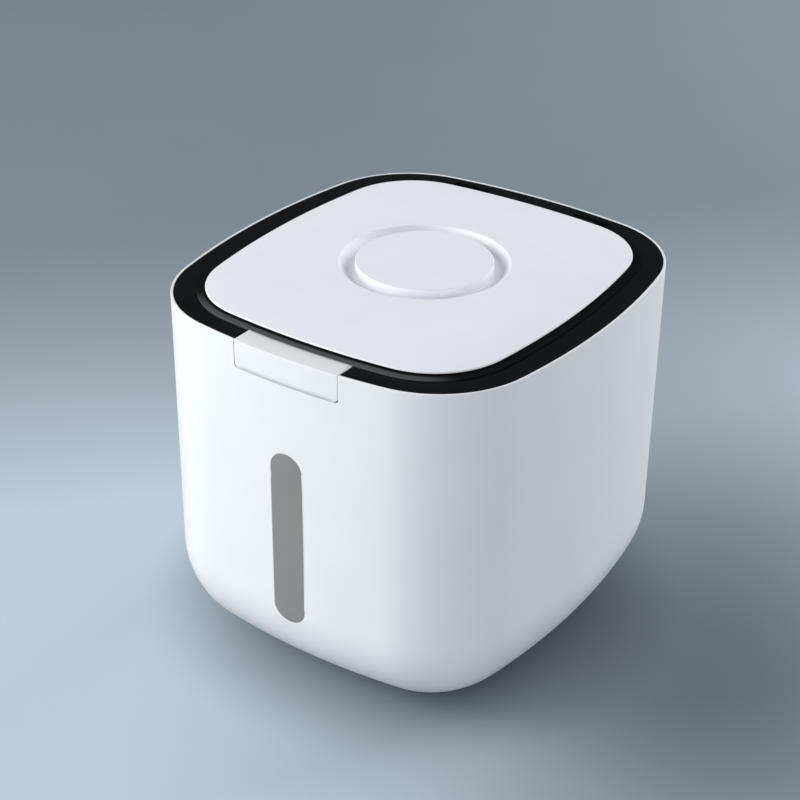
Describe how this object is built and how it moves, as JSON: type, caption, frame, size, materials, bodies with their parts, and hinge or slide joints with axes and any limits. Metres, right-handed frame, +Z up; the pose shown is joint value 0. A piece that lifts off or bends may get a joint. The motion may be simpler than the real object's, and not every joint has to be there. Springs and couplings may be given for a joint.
{
  "type": "rice storage container",
  "caption": "Rounded square grain bin with a black rim frame, a front push button latch, a slim window strip and a domed lid hinged at the back.",
  "frame": {"origin": "middle of the base on the surface that the bin stands on", "axes": "+Z up, -Y towards the front with the button and the window, +X to the right seen from the front"},
  "size_m": [0.253, 0.2734, 0.2382],
  "materials": {
    "white_tub": "satin moulded white",
    "white_lid": "satin moulded white",
    "black_frame": "smooth black",
    "grey_window": "smoked grey, smooth",
    "inner_white": "plain moulded",
    "black_acetal": "matt",
    "silicone": "soft matt",
    "foot_pad": "soft matt",
    "steel": "zinc plated",
    "spring_steel": "drawn wire"
  },
  "bodies": {
    "bin": {"outer_shell": "white_tub", "viewing_window": "grey_window", "window_gasket": "silicone", "rim_frame": "black_frame", "button_cradle": "black_acetal", "cradle_screws": "steel", "button_spring_left": "spring_steel", "button_spring_right": "spring_steel", "hinge_pin_left": "steel", "hinge_pin_right": "steel", "hinge_spring_left": "spring_steel", "hinge_spring_right": "spring_steel", "foot_front_left": "foot_pad", "foot_front_right": "foot_pad", "foot_rear_left": "foot_pad", "foot_rear_right": "foot_pad"},
    "lid": {"lid_cover": "white_lid", "lid_liner": "inner_white", "lid_seal": "silicone", "lid_screws": "steel", "lid_catch": "black_acetal", "catch_screws": "steel", "hinge_leaf_left": "black_acetal", "hinge_leaf_right": "black_acetal", "hinge_screws": "steel", "freshness_cup": "inner_white"},
    "cap": {"freshness_cap": "inner_white"},
    "button": {"release_button": "white_tub", "latch_hook": "black_acetal", "hook_screws": "steel"}
  },
  "joints": [
    {"name": "lid_hinge", "type": "hinge", "parent": "bin", "child": "lid", "pos_m": [0, 0.1216, 0.2297], "axis": [-1, 0, 0], "range_deg": [0, 95], "deforming": ["hinge_spring_left", "hinge_spring_right"]},
    {"name": "button_press", "type": "slide", "parent": "bin", "child": "button", "axis": [0, 1, 0], "range_m": [0, 0.0022], "stiffness_N_per_m": 800, "springref_m": -0.003, "deforming": ["button_spring_left", "button_spring_right"]},
    {"name": "cap_turn", "type": "hinge", "parent": "lid", "child": "cap", "pos_m": [0, 0.0017, 0.2155], "axis": [0, 0, 1], "range_deg": [0, 40]}
  ]
}
